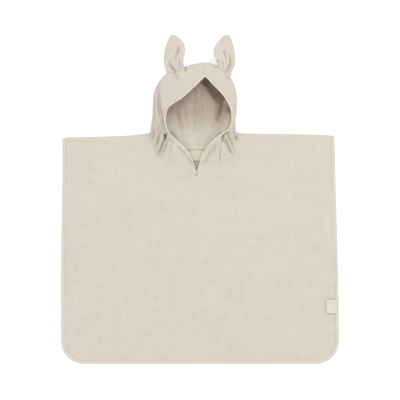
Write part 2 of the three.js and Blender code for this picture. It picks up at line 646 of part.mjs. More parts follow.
const backPanel = {
  neck: backNeck,
  level: BACK_Z,
  drop: LAYER,
  fadeDown: () => BACK_FADE,
  levels: [380, 270, 170, 90, 46, 24, 11, 4, 0],
  folds: () => 0,
  floor: () => BACK_Z,
};
const frontPanel = {
  neck: frontNeck,
  level: FRONT_Z,
  drop: 0,
  fadeDown: (x) => mix(FRONT_FADE, V_FADE.down, fade(Math.abs(x - V_FADE.centre) / V_FADE.half)),
  levels: [380, 280, 200, 145, 108, 84, 67, 55, 45.5, 37.5, 30.5, 24, 18, 12.5, 7.5, 3.5, 0],
  folds: (x, y, fromRim) =>
    foldHeight(foldsOn("front"), x, y) * (1 - fade(fromRim / RIM_CLEAR)) +
    neckFold(x, y, 1, fromRim),
  floor: (x, y) => panelHeight(backPanel, x, y) + LAYER,
};
addPiece("back_panel", wall(panelRows(backPanel), CLOTH), TERRY);
addPiece("front_panel", wall(panelRows(frontPanel), CLOTH), TERRY);

// Binding round the sides, the rounded corners and the bottom of each panel
const BINDING_DOWN = [60, -30, -110, -190, -260]; // heights of its points down each side
const BINDING_ALONG = [-160, -60, 40, 150]; // and across the bottom
const BINDING_TOP = { left: 139.5, right: 144.5 };
const CORNER_TURNS = 9;

function bindingLine() {
  const half = HEM_WIDTH / 2;
  const radius = CORNER_R - half;
  const turns = Array.from(
    { length: CORNER_TURNS + 1 },
    (_, i) => ((i / CORNER_TURNS) * Math.PI) / 2,
  );
  const corner = (x, turn) => {
    const from = x < 0 ? Math.PI + turn : Math.PI * 1.5 + turn;
    return vec(x + radius * Math.cos(from), HEM_Y + CORNER_R + radius * Math.sin(from), 0);
  };
  const bottom = HEM_Y + CORNER_R;
  return [
    ...[BINDING_TOP.left, ...BINDING_DOWN].map((y) => vec(leftAt(y) + half, y, 0)),
    ...turns.map((turn) => corner(leftAt(bottom) + CORNER_R, turn)),
    ...BINDING_ALONG.map((x) => vec(x, HEM_Y + half, 0)),
    ...turns.map((turn) => corner(rightAt(bottom) - CORNER_R, turn)),
    ...[BINDING_TOP.right, ...BINDING_DOWN].reverse().map((y) => vec(rightAt(y) - half, y, 0)),
  ];
}
for (const [name, z] of [
  ["back_hem", HEM_THICK / 2],
  ["front_hem", HEM_THICK * 1.5 + SEAM_GAP],
]) {
  const line = bindingLine().map((point) => point.setZ(z));
  const widths = line.map(() => HEM_WIDTH);
  addPiece(name, band(line, acrossLine(line, 1), widths, HEM_THICK), EDGE);
}

// Half-moon facing on the back panel, under the V
function facingRows() {
  const half = (FACING.right - FACING.left) / 2;
  const [down, across] = [3, 16];
  return Array.from({ length: down + 1 }, (_, j) =>
    Array.from({ length: across + 1 }, (_, i) => {
      const share = 1 - j / down;
      const x = mix(FACING.left, FACING.right, i / across);
      const off = clamp01(Math.abs(x - FACING.centre) / (half + 4));
      const depth = FACING.ends + FACING.depth * (1 - off ** 2.4);
      const edge = topEdge(backNeck, x).y - FACING.seam;
      const y = edge - depth * share;
      const onPanel = panelHeight(backPanel, x, y) + CLOTH / 2 + SEAM_GAP;
      return vec(x, y, onPanel + FACING_CLOTH / 2);
    }),
  );
}
addPiece("neck_facing", wall(facingRows(), FACING_CLOTH), TERRY);

// Ears: the back layer drapes from the crown to the surface, the front one lies on it
function earRows(table, folds, crownEdge, layer) {
  const line = (key) => smoothColumn(table, key);
  const [lx, ly, rx, ry, puff] = ["lx", "ly", "rx", "ry", "puff"].map(line);
  const [ex, ey] = [crownEdge.x1 - crownEdge.x0, crownEdge.y1 - crownEdge.y0];
  const edgeLength = Math.hypot(ex, ey);
  return Array.from({ length: EAR_STEPS.along + 1 }, (_, j) => {
    const row = (j / EAR_STEPS.along) * (table.length - 1);
    return Array.from({ length: EAR_STEPS.across + 1 }, (_, i) => {
      const share = i / EAR_STEPS.across;
      const x = mix(lx(row), rx(row), share);
      const y = mix(ly(row), ry(row), share);
      const past = ((y - crownEdge.y0) * ex - (x - crownEdge.x0) * ey) / edgeLength;
      const drapeAt = (distance) => lookUp(EAR_DRAPE, "past", "z", distance);
      if (layer === "back") return vec(x, y, drapeAt(past));
      const half = EAR_SLOPE_SPAN / 2;
      const steep = (drapeAt(past + half) - drapeAt(past - half)) / EAR_SLOPE_SPAN;
      const apart = (EAR_CLOTH + SEAM_GAP) * Math.hypot(1, steep);
      const arch = Math.sin(Math.PI * share) ** 0.6;
      const raised = Math.max(0, puff(row) + foldHeight(folds, x, y)) * arch;
      return vec(x, y, drapeAt(past) + apart + raised);
    });
  });
}
for (const [side, table, crownEdge] of [
  ["left", EAR_LEFT, CROWN_EDGE_LEFT],
  ["right", EAR_RIGHT, CROWN_EDGE_RIGHT],
])
  for (const layer of ["back", "front"])
    addPiece(
      `ear_${side}_${layer}`,
      wall(earRows(table, EAR_FOLDS[side], crownEdge, layer), EAR_CLOTH),
      TERRY,
    );

// Bare label: flat on the front panel, then up over the binding that catches it
function labelRows() {
  const flatZ = FRONT_Z + CLOTH / 2 + SEAM_GAP + LABEL.thick / 2;
  const overZ = HEM_THICK * 2 + SEAM_GAP * 2 + LABEL.thick / 2;
  return [LABEL.bottom, (LABEL.bottom + LABEL.top) / 2, LABEL.top].map((y) => {
    const inner = rightAt(y) - HEM_WIDTH;
    return [
      vec(LABEL.left, y, flatZ),
      vec(inner - LABEL.bend, y, flatZ),
      vec(inner - 3, y, flatZ + 0.3),
      vec(inner - 0.6, y, overZ),
      vec(inner + LABEL.overHem, y, overZ),
    ];
  });
}
addPiece("label", wall(labelRows(), LABEL.thick), TAPE);

// The frame's origin is below the middle of the whole outline, on the surface
const bounds = new THREE.Box3().setFromObject(poncho);
const middle = bounds.getCenter(vec(0, 0, 0));
poncho.position.set(-middle.x, -middle.y, -bounds.min.z);

export default poncho;
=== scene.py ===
# %% [markdown]
# A child's hooded bath poncho, laid flat. The real thing is two terry panels sewn at the
# shoulders, a hood in two halves, a pair of long ears, and narrow turned edges.
#
# Every piece of cloth already exists as a plain solid with the right place and size. Those
# solids are the pattern here: each is copied, cut finer, softened and creased, so that the
# cloth stays where the pattern says and only its surface changes.
# %% Load the pattern pieces

import math

import bmesh
import bpy
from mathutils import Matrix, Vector, noise
from mathutils.bvhtree import BVHTree


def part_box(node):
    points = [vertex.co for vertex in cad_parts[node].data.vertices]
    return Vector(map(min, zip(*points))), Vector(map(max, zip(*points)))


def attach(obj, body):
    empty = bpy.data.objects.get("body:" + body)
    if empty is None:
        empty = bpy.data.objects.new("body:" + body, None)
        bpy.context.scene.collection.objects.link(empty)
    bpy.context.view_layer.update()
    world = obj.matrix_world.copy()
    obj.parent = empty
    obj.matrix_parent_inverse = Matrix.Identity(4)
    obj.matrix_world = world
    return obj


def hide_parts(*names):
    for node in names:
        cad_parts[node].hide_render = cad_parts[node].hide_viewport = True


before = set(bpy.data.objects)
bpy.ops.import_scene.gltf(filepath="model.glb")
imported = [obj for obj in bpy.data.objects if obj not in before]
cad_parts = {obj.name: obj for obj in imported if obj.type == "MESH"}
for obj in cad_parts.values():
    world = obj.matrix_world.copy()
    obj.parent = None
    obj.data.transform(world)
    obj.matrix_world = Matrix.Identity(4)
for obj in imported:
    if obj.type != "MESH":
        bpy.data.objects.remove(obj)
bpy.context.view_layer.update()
MM = 0.001
print("pattern pieces:", ", ".join(sorted(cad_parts)))

# %% [markdown]
# The camera looks straight down from far away, as a catalogue camera does, so that the raised
# hood is not spread outwards by perspective. The frame is a square of cloth-level surface 0.9 m
# wide. A closer camera with a shorter lens would show the same field, but would swell the ears.
# %% Camera

FIELD = 0.9
CAMERA_HEIGHT = 5.0
CLOTH_LEVEL = 0.006
CAMERA_OFFSET = (0.0002, -0.0001)

camera_data = bpy.data.cameras.new("camera")
camera_data.sensor_width = 36
camera_data.lens = camera_data.sensor_width * (CAMERA_HEIGHT - CLOTH_LEVEL) / FIELD
camera_data.clip_end = 50
camera = bpy.data.objects.new("camera", camera_data)
camera.location = (*CAMERA_OFFSET, CAMERA_HEIGHT)
bpy.context.scene.collection.objects.link(camera)
bpy.context.scene.camera = camera
print("lens in mm:", round(camera_data.lens))

# %% [markdown]
# Soft goods on white are lit mostly by white surroundings, which keep everything pale, and by
# one large soft light. Here it stands beyond the ears, a little to the right, so that the
# crown shades the upper inside of the hood and the neck stays bright. The floor is a pale
# sheet lit from below, as on a light table, so that the garment's edges stay clean.
# %% Light and floor

SKY_COLOUR = (1.0, 1.04, 1.10, 1)
SKY_STRENGTH = 1.33
KEY_PLACE = (0.92, 2.08, 2.6)
KEY_COLOUR = (0.84, 1.02, 1.08)
FLOOR_LEVEL = -0.0005

scene = bpy.context.scene
scene.view_settings.view_transform = "Standard"
scene.view_settings.look = "None"

world = bpy.data.worlds.new("studio")
scene.world = world
world.use_nodes = True
sky = world.node_tree.nodes["Background"]
sky.inputs["Color"].default_value = SKY_COLOUR
sky.inputs["Strength"].default_value = SKY_STRENGTH


def soft_light(name, place, size, power, tint):
    """A square area light at place, turned to the neck of the garment."""
    data = bpy.data.lights.new(name, "AREA")
    data.size = size
    data.energy = power
    data.color = tint
    lamp = bpy.data.objects.new(name, data)
    lamp.location = place
    lamp.rotation_euler = (Vector(place) - Vector((0, 0.1, 0))).to_track_quat("Z", "Y").to_euler()
    lamp.visible_camera = False
    scene.collection.objects.link(lamp)


soft_light("key", KEY_PLACE, size=1.2, power=32, tint=KEY_COLOUR)

floor_mesh = bpy.data.meshes.new("floor")
floor_bm = bmesh.new()
bmesh.ops.create_grid(floor_bm, x_segments=1, y_segments=1, size=4)
floor_bm.to_mesh(floor_mesh)
floor_bm.free()
floor = bpy.data.objects.new("floor", floor_mesh)
floor.location.z = FLOOR_LEVEL
scene.collection.objects.link(floor)

# %% [markdown]
# Materials are sums of textures, and sums read best as sums. This small class wraps one output
# of a node, so that `1 - mask` or `loops * 0.6 + tufts` adds the Math nodes by itself. Colours
# and vectors have their own methods, because a Math node would turn them grey.
# %% Numbers that vary over a surface


class Value:
    """A number that varies over a surface. Sums on it add Math nodes."""

    def __init__(self, maker, socket):
        self.maker = maker
        self.socket = socket

    def maths(self, operation, first, second=0.0):
        return self.maker.node("Math", {"operation": operation}, {0: first, 1: second})

    def __add__(self, other):
        return self.maths("ADD", self, other)

    def __mul__(self, other):
        return self.maths("MULTIPLY", self, other)

    def __sub__(self, other):
        return self.maths("SUBTRACT", self, other)

    def __rsub__(self, other):
        return self.maths("SUBTRACT", other, self)

    __radd__ = __add__
    __rmul__ = __mul__


# %% [markdown]
# A maker holds one material while it is built. It knows the place on the garment, which is the
# same in every piece, so the pile keeps its size from one piece to the next, and it ends every
# material with colour, roughness and bump.
# %% A material maker


class Maker:
    """Builds one material, node by node."""

    def __init__(self, name):
        self.material = bpy.data.materials.new(name)
        self.material.use_nodes = True
        self.tree = self.material.node_tree
        self.surface = self.tree.nodes["Principled BSDF"]
        self.place = self.node("TexCoord", {}, {}, "Object")

    def node(self, kind, settings, inputs, output=0):
        """Adds a node of a kind, sets it up, then fills its sockets with values or links."""
        made = self.tree.nodes.new("ShaderNode" + kind)
        for key, value in settings.items():
            setattr(made, key, value)
        for key, value in inputs.items():
            self.fill(made.inputs[key], value)
        return Value(self, made.outputs[output])

    def fill(self, socket, value):
        if isinstance(value, Value):
            self.tree.links.new(value.socket, socket)
        else:
            socket.default_value = value

    def noise(self, size, detail=2.0, stretch=(1, 1, 1)):
        """Noise whose lumps are about size metres across, from 0 to 1."""
        at = self.node(
            "Mapping", {"vector_type": "POINT"}, {"Vector": self.place, "Scale": stretch}
        )
        return self.node("TexNoise", {}, {"Vector": at, "Scale": 1 / size, "Detail": detail})

    def colour(self, share, low, high):
        """A colour between two others, each three numbers or an output."""
        ends = [c if isinstance(c, Value) else (*c, 1) for c in (low, high)]
        return self.node("Mix", {"data_type": "RGBA"}, {0: share, 6: ends[0], 7: ends[1]}, 2)

    def finish(self, colour, roughness, height, depth, strength=1.0, **constants):
        bump = self.node(
            "Bump", {}, {"Height": height, "Distance": depth, "Strength": strength}, "Normal"
        )
        self.fill(self.surface.inputs["Base Color"], colour)
        self.fill(self.surface.inputs["Roughness"], roughness)
        self.fill(self.surface.inputs["Normal"], bump)
        for key, value in constants.items():
            self.surface.inputs[key.replace("_", " ")].default_value = value
        return self.material


# %% [markdown]
# Terry is a cloth of small cotton loops. One loop is 1.5 mm across, far below a pixel at arm's
# length, so loops are bump, with painted shade a little darker between them. What shows from a
# step away is how the loops lean in patches: a faint mottle. Sheen gives the soft bright rim
# that every piled cloth has. A value painted on the corners, "deep", sets painted shade: up to 1
# in the hood and in folds, where the cloth is painted browner and darker, and up to 2 in the
# darkest corner of the hood. Below 0 it sets painted light, lighter than the rest, down to -1.
# %% Terry

PILE = (0.52, 0.452, 0.367)
PILE_SHADE_AND_MOTTLE = (0.87, 0.86, 0.835)
PAINTED_LIGHT_AND_SHADE_TINTS = [(1.15, 1.11, 1.08), (1, 1, 1), (0.805, 0.742, 0.71), (0.47, 0.37, 0.30)]
LOOP = 1.5 * MM
TUFT = 6 * MM
PATCH = 18 * MM
DRIFT = 110 * MM


def shade(share):
    """The cloth's linear colour, lighter or darker by a share."""
    return [c * share for c in PILE]


def terry(name, light, depth=1.0):
    """Looped cotton pile around a light linear colour, with painted light and painted shade where
    "deep" is painted.
    """
    maker = Maker(name)
    loops = 1 - maker.node("TexVoronoi", {}, {"Vector": maker.place, "Scale": 1 / LOOP})
    tufts = maker.noise(TUFT, 3)
    rows = maker.noise(PATCH, 2, (0.5, 1.6, 1))
    wales = maker.noise(PATCH, 2, (1.7, 0.45, 1))
    drift = maker.noise(DRIFT, 1)
    lean = rows * 0.25 + wales * 0.25 + drift * 0.15 + tufts * 0.35
    mottle = maker.node("MapRange", {}, {0: lean, 1: 0.35, 2: 0.65, 3: 0.0, 4: 1.0})
    # Between the loops the cloth is darker, as painted shade; the mottle is tone that differs at
    # random.
    tone = mottle * 0.7 + loops * 0.3
    dark = [c * s for c, s in zip(light, PILE_SHADE_AND_MOTTLE)]
    # The painted "deep" value picks painted light below 0, painted shade browner up to 1 and
    # darker up to 2.
    deep = maker.node("Attribute", {"attribute_name": "deep"}, {}, "Fac")
    painted_light, open_cloth, hollow, corner = [
        maker.colour(tone, *([c * t for c, t in zip(end, tint)] for end in (dark, light)))
        for tint in PAINTED_LIGHT_AND_SHADE_TINTS
    ]
    colour = maker.colour(deep + 1, painted_light, open_cloth)
    colour = maker.colour(deep - 1, maker.colour(deep, colour, hollow), corner)
    return maker.finish(
        colour,
        0.97 - loops * 0.08,
        loops * 0.55 + tufts * 0.45,
        0.9 * MM * depth,
        0.55,
        Sheen_Weight=0.18,
        Sheen_Roughness=0.45,
        Sheen_Tint=(1.0, 0.97, 0.92, 1),
        Specular_IOR_Level=0.2,
    )


terry_cloth = terry("terry", PILE)
# The ears are painted a shade darker than the rest, as painted shade.
ear_cloth = terry("terry_ear", shade(0.975))
# The facing is painted lighter than the rest, as painted light.
facing_cloth = terry("terry_facing", shade(1.12), 0.7)

# %% [markdown]
# The edges are the same cotton turned under and stitched flat, so the loops are pressed and the
# surface is smoother and a shade lighter. The label is a bare woven tape: fine ribs across it,
# worked out with a wave texture.
# %% Edges, label, thread and floor


def pressed_edge(name, low, high):
    maker = Maker(name)
    fibres = maker.noise(1.1 * MM, 3)
    lumps = maker.noise(6 * MM, 2)
    return maker.finish(
        maker.colour(fibres * 0.5 + lumps * 0.5, low, high),
        0.9 - fibres * 0.06,
        fibres * 0.5 + lumps * 0.5,
        0.7 * MM,
        0.5,
        Sheen_Weight=0.12,
        Sheen_Roughness=0.4,
        Specular_IOR_Level=0.25,
    )


def woven_tape():
    maker = Maker("label_tape")
    ribs = maker.node(
        "TexWave",
        {"wave_type": "BANDS", "bands_direction": "Y"},
        {"Vector": maker.place, "Scale": 1 / (4 * MM), "Distortion": 0.6, "Detail": 1.0},
        "Fac",
    )
    threads = maker.noise(0.8 * MM, 2, (0.35, 1.4, 1))
    return maker.finish(
        maker.colour(ribs * 0.4 + threads * 0.6, shade(0.94), shade(1.07)),
        0.62 + threads * 0.1,
        ribs * 0.6 + threads * 0.4,
        0.2 * MM,
        0.5,
        Sheen_Weight=0.1,
        Specular_IOR_Level=0.35,
    )


def cotton_thread():
    maker = Maker("thread")
    twist = maker.noise(0.5 * MM, 1)
    return maker.finish(
        maker.colour(twist, shade(0.95), shade(1.12)),
        0.7 + twist * 0.1,
        twist,
        0.1 * MM,
        0.5,
        Specular_IOR_Level=0.3,
    )


FLOOR_GREYS = [(0.34, 0.34, 0.34), (0.36, 0.36, 0.36)]
FLOOR_GLOW = 0.65


def pale_floor():
    maker = Maker("pale_floor")
    grain = maker.noise(40 * MM, 2)
    maker.surface.inputs["Emission Color"].default_value = (1, 1, 1, 1)
    maker.surface.inputs["Emission Strength"].default_value = FLOOR_GLOW
    return maker.finish(
        maker.colour(grain, *FLOOR_GREYS),
        0.9 + grain * 0.05,
        grain,
        0.05 * MM,
        0.2,
        Specular_IOR_Level=0.1,
    )


edge_cloth = pressed_edge("turned_edge", shade(0.98), shade(1.06))
hem_cloth = pressed_edge("hem_edge", shade(0.93), shade(1.0))
label_tape = woven_tape()
thread = cotton_thread()
floor_mesh.materials.append(pale_floor())
print("materials:", [m.name for m in bpy.data.materials])

# %% [markdown]
# A pattern piece arrives as loose triangles. Its copy is merged, and then every long edge is cut
# in half again and again, until the triangles are small enough to bend. Where nobody looks, on
# the underside, they stay large.
# %% Cutting a pattern piece finer


def pattern_copy(node):
    bm = bmesh.new()
    bm.from_mesh(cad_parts[node].data)
    bmesh.ops.remove_doubles(bm, verts=bm.verts, dist=0.005 * MM)
    bm.verts.layers.float.new("deep")
    return bm


def cut_finer(bm, longest, rounds=10):
    """Halves each edge that is longer than longest(middle of the edge, faces upwards) says."""
    for _ in range(rounds):
        long_edges = []
        for edge in bm.edges:
            middle = (edge.verts[0].co + edge.verts[1].co) / 2
            up = max((face.normal.z for face in edge.link_faces), default=0)
            if edge.calc_length() > longest(middle, up):
                long_edges.append(edge)
        if not long_edges:
            return
        bmesh.ops.subdivide_edges(bm, edges=long_edges, cuts=1, use_grid_fill=True)
        bmesh.ops.triangulate(bm, faces=[f for f in bm.faces if len(f.verts) > 3])
        bm.normal_update()


print("corners of one hood half:", len(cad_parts["hood_left"].data.vertices))

# %% [markdown]
# Smoothing moves each corner towards its neighbours. It turns the facets into cloth, but it
# would also shrink the outline, so the cut edges of a wall are held while the rest settles, and
# only at the end do they get a few rounds of their own, which is what makes an edge look soft.
# %% Softening

CUT_EDGE = math.radians(58)
FACE_SHARE = 0.5
EDGE_SHARE = 0.4


def soften(bm, times, edge_times):
    """Smooths the faces of a wall so many times, and then everything, cut edges too."""
    held = {v for e in bm.edges if e.calc_face_angle(0.0) > CUT_EDGE for v in e.verts}
    loose = [v for v in bm.verts if v not in held]
    axes = {"use_axis_x": True, "use_axis_y": True, "use_axis_z": True}
    for _ in range(times):
        bmesh.ops.smooth_vert(bm, verts=loose, factor=FACE_SHARE, **axes)
    for _ in range(edge_times):
        bmesh.ops.smooth_vert(bm, verts=bm.verts, factor=EDGE_SHARE, **axes)
    bm.normal_update()


print("a cut edge turns by more than, in degrees:", round(math.degrees(CUT_EDGE)))

# %% [markdown]
# On the pattern solids every seam is a gap, so that each piece is a body of its own. Sewn cloth
# meets. So the cut edges near a seam are drawn across it, a little past the middle, and nothing
# dark shows between two pieces.
# %% Seams that meet


def nearest_on(line, x, y):
    """Distance of x, y from a line of points, its share along the line, and the spot there."""
    spans = list(zip(line, line[1:]))
    lengths = [math.dist(a, b) for a, b in spans]
    best = (1e9, 0.0, line[0])
    run = 0.0
    for (a, b), length in zip(spans, lengths):
        t = ((x - a[0]) * (b[0] - a[0]) + (y - a[1]) * (b[1] - a[1])) / length**2
        t = min(1.0, max(0.0, t))
        spot = (a[0] + t * (b[0] - a[0]), a[1] + t * (b[1] - a[1]))
        away = math.dist((x, y), spot)
        if away < best[0]:
            best = (away, (run + t * length) / sum(lengths), spot)
        run += length
    return best


def length_of(line):
    return sum(math.dist(a, b) for a, b in zip(line, line[1:]))


def ease(q):
    """0 below 0, 1 above 1, and a soft step between."""
    q = min(1.0, max(0.0, q))
    return q * q * (3 - 2 * q)


def inside_box(line, x, y, margin):
    """Whether x, y lies in the box round a line of points, widened by a margin."""
    across = [p[0] for p in line]
    along = [p[1] for p in line]
    return (
        min(across) - margin < x < max(across) + margin
        and min(along) - margin < y < max(along) + margin
    )


def draw_to(bm, line, within, by, counts=lambda v: True):
    """Moves the corners near a seam line towards it in plan, by most at the line. All in mm."""
    moved = 0
    for v in bm.verts:
        x, y = v.co.x / MM, v.co.y / MM
        if not inside_box(line, x, y, within) or not counts(v):
            continue
        away, _, spot = nearest_on(line, x, y)
        if 0.01 < away < within:
            step = by * (1 - away / within) / away
            v.co.x += (spot[0] - x) * step * MM
            v.co.y += (spot[1] - y) * step * MM
            moved += 1
    print("drawn to the seam:", moved)


# %% [markdown]
# Two cut edges that overlap in plan may still arrive at different heights, and a step between
# them would throw a line of shade. The height at which each piece would reach the seam follows
# from two rays to each side of it, and one piece is eased to the other's height.
# %% Seams at one height


def tree_of(piece):
    """A finished piece, made ready for rays."""
    probe = bmesh.new()
    probe.from_mesh(piece.data)
    tree = BVHTree.FromBMesh(probe)
    probe.free()
    return tree


def top_of(tree):
    """A function that gives the height of a piece's top at x, y in mm, or None beside it."""

    def height(x, y):
        spot = tree.ray_cast(Vector((x * MM, y * MM, 0.2)), Vector((0, 0, -1)))[0]
        return spot.z / MM if spot else None

    return height


LARGEST_STEP = 3.0


def arrive_level(bm, other, line, within, counts):
    """Eases a piece behind a seam, along Y, to the height of the other piece before it."""
    own = top_of(BVHTree.FromBMesh(bm))
    steps = []
    for v in bm.verts:
        x, y = v.co.x / MM, v.co.y / MM
        if not inside_box(line, x, y, within) or not counts(v):
            continue
        away, _, (sx, sy) = nearest_on(line, x, y)
        if away < within:
            here = [own(sx, sy + d) for d in (3, 6)]
            there = [other(sx, sy - d) for d in (3, 6)]
            if None not in here + there:
                step = (2 * there[0] - there[1]) - (2 * here[0] - here[1])
                step = max(-LARGEST_STEP, min(LARGEST_STEP, step))
                steps.append((v, step * ease(1 - away / within)))
    for v, step in steps:
        v.co.z += step * MM
    largest = max((abs(step) for _, step in steps), default=0)
    print("eased to one height:", len(steps), "largest in mm:", round(largest, 1))


# %% [markdown]
# A fold is a soft ridge, or a trough where its height is negative, along a short line of points.
# It dies out to both sides and over a share of its length at its head and its tail. Each is
# given at its real place on the garment, in millimetres. A trough also gets painted shade,
# browner and darker, as shade falls in it.
# %% Creases

PAINTED_SHADE_PER_MM = 0.2


def fold(line, wide, high, head=0.25, tail=0.5):
    """A fold along a line. wide is half its width."""
    return {"line": line, "wide": wide, "high": high, "head": head, "tail": tail}


def crease_height(folds, x, y):
    """Height in mm that a list of folds adds at x, y in mm."""
    total = 0.0
    for one in folds:
        line, wide = one["line"], one["wide"]
        if not inside_box(line, x, y, wide):
            continue
        away, share, _ = nearest_on(line, x, y)
        if away < wide:
            across = (1 - (away / wide) ** 2) ** 2
            ends = ease(share / one["head"]) * ease((1 - share) / one["tail"])
            total += one["high"] * across * ends
    return total


def crease(bm, folds, counts, floor=None):
    """Lifts the corners for which counts(corner) isn't 0 by the folds there, and gives troughs
    painted shade.
    """
    deep = bm.verts.layers.float["deep"]
    moved = 0
    for v in bm.verts:
        share = counts(v)
        if share:
            height = crease_height(folds, v.co.x / MM, v.co.y / MM) * share
            if height:
                moved += 1
                v.co.z += height * MM
                # A trough gets painted shade by its depth.
                v[deep] += max(0.0, -height) * PAINTED_SHADE_PER_MM
                if floor:
                    v.co.z = max(v.co.z, floor(v))
    bm.normal_update()
    print("creased corners:", moved)


# %% [markdown]
# Laid cloth is never quite flat. A slow wave, as from a fold pressed out by hand, and smaller
# lumps of pile are added along each corner's normal, from a fixed noise, so that the piece
# comes out the same every time.
# %% Uneven pile

WAVE_LENGTH = 85
LUMP = 16
SMALL_LUMP = 6.5


def upward(least):
    """A function that gives 1 at the corners that face up by more than least, 0 elsewhere."""
    return lambda v: 1.0 if v.normal.z > least else 0.0


def uneven(bm, wave, lumps, counts, seed=0.0):
    """Moves each corner out by a slow wave and small lumps, given in mm."""
    shift = Vector((seed, seed * 1.7, seed * 0.6))
    out = []
    for v in bm.verts:
        share = counts(v)
        p = v.co / MM
        slow = noise.noise(p / WAVE_LENGTH + shift) * wave
        large = noise.noise(p / LUMP + shift) * 0.6
        small = (large + noise.noise(p / SMALL_LUMP + shift) * 0.4) * lumps
        out.append(v.normal * (slow + small) * share * MM)
    for v, step in zip(bm.verts, out):
        v.co += step
    bm.normal_update()


def finish_piece(bm, name, material, replaced):
    """Makes a bmesh an object of the garment that stands for pattern pieces."""
    mesh = bpy.data.meshes.new(name)
    bm.to_mesh(mesh)
    mesh.shade_smooth()
    mesh.materials.append(material)
    piece = bpy.data.objects.new(name, mesh)
    scene.collection.objects.link(piece)
    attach(piece, "root")
    if replaced:
        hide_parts(*replaced)
    print(name, "triangles:", sum(len(f.vertices) - 2 for f in mesh.polygons))
    return piece


# %% [markdown]
# On the hood a corner is inside if it faces the middle of the hollow, and height counts more
# than the way along. The inside gets painted shade, less and less towards the neck, where light
# comes in.
# %% Painting the inside

HOLLOW_MIDDLE = (-8, 200)
HOLLOW_LEVEL = [(110, 12), (205, 20), (265, 27), (300, 32)]
HEIGHT_COUNTS = 5


def paint_shade(bm, share):
    """Sets the painted shade of each corner to share(corner)."""
    deep = bm.verts.layers.float["deep"]
    for v in bm.verts:
        v[deep] = share(v)


def faces_hollow(v):
    """Whether a corner is on the inside of the hood."""
    x, y, z = v.co / MM
    level = HOLLOW_LEVEL[0][1]
    for (y0, z0), (y1, z1) in zip(HOLLOW_LEVEL, HOLLOW_LEVEL[1:]):
        level += (z1 - z0) * min(1.0, max(0.0, (y - y0) / (y1 - y0)))
    towards = Vector((HOLLOW_MIDDLE[0] - x, HOLLOW_MIDDLE[1] - y, (level - z) * HEIGHT_COUNTS))
    return towards.dot(v.normal) > 0


print("middle of the hollow in mm:", HOLLOW_MIDDLE)

# %% [markdown]
# Where the hood is sewn to the front, the cloth is bunched. The same creases run from the
# hood over the seam into the front, so both pieces read one list. A pleat is a ridge with a
# sharper trough on each side of it.
# %% Creases round the neck

NECK_CREASES = [
    fold(
        [(-93, 262), (-91.8, 214), (-86, 182), (-80.8, 162), (-78, 146), (-77.4, 130)],
        5.6, -6.4, head=0.5, tail=0.1,
    ),
    fold([(-82, 172), (-78.4, 150), (-77.6, 138), (-81, 124)], 4, -5.6, tail=0.3),
    fold([(-84.8, 160), (-83, 140), (-90.6, 119), (-102, 94)], 3.8, 4.4, tail=0.3),
    fold([(-78, 138), (-87, 117), (-100, 90)], 3.4, -4.6, head=0.1, tail=0.5),
    fold([(-74, 140), (-83, 117), (-96, 90)], 3.6, 3.8, head=0.15, tail=0.4),
    fold([(-69.4, 140), (-79.6, 113), (-92, 90)], 3.4, -3.8, head=0.1, tail=0.5),
    fold([(-92, 176), (-91, 146), (-95.6, 127), (-105, 110)], 4.2, -4.8, tail=0.3),
    fold([(-98, 168), (-98, 142), (-104, 124)], 4.2, 3.0),
    fold([(-103, 156), (-104, 142), (-113, 127)], 3.8, -4.0),
    fold([(-64, 142), (-63.4, 124), (-68, 100), (-72, 76)], 5, -2.2, head=0.15),
    fold([(-71, 130), (-73, 104)], 5, 1.6),
    fold(
        [(-56, 124), (-52.2, 120.8), (-35.8, 104), (-20.9, 87.7), (-12.6, 71)],
        6.5, -2.4, tail=0.3,
    ),
    fold([(56, 156), (51.4, 144), (50.6, 134), (53, 124)], 4.2, -6.4, head=0.2, tail=0.35),
    fold([(44, 134), (30.2, 114), (18.7, 99), (8.8, 81), (3, 70)], 6.5, -2.4, tail=0.3),
    fold([(46, 128), (36, 108), (28, 92)], 5, 1.8),
    fold([(44, 132), (46.6, 112), (43.6, 84), (40, 66)], 4.4, -2.6, head=0.15),
    fold([(52, 132), (57, 108), (58, 88)], 4.4, 2.2),
    fold([(55, 138), (66, 114), (79, 90)], 3.6, -4.4, head=0.1, tail=0.5),
    fold([(59.4, 142), (71, 115), (83, 94)], 3.6, 3.4, head=0.1, tail=0.4),
    fold([(62, 160), (63.4, 142), (76, 114), (86, 98)], 3.6, -3.6, head=0.15),
    fold([(70, 162), (71, 144), (80, 124)], 4.4, 2.4),
    fold([(77, 154), (78.4, 143), (87, 127)], 3.8, -4.2),
]
print("neck creases:", len(NECK_CREASES))

# %% [markdown]
# The seam lines in plan, in millimetres: along the neck on both sides, the centre seam at the
# back and over the crown, and the middle of the rolled edge round the face.
# %% Seam lines

NECK_SEAMS = {
    "left": [(-113, 151.4), (-104, 150.4), (-92, 149.2), (-72, 148)],
    "right": [(56, 147.8), (66, 149), (78, 150.6), (85, 151.4)],
}
SEAM_REACH = 8
SEAM_PULL = 1.9
NECK_REACH = 32
BACK_NECK_SEAM = [
    (-110.5, 151), (-99.9, 141.1), (-89.3, 132.6), (-78.7, 125.4), (-68.1, 119.6), (-57.5, 115.2),
    (-46.9, 112.1), (-36.3, 110.4), (-25.7, 110), (-15.1, 111), (-4.5, 113.4), (4, 111),
    (12.5, 110), (21, 110.4), (29.5, 112.1), (38, 115.2), (46.6, 119.6), (55, 125.4),
    (63.6, 132.6), (72.1, 141.1), (80.6, 151),
]
BACK_SEAM_X = -4.5
BACK_SEAM_Y = 113.2
BACK_SEAM_HALF = 44
BACK_SEAM_REACH = 12
CENTRE_SEAM = [(-4.2, 112), (-4.2, 262), (-3.9, 281), (-2, 292), (6, 304)]
CROWN_SEAM = [(10, 281), (10, 308)]
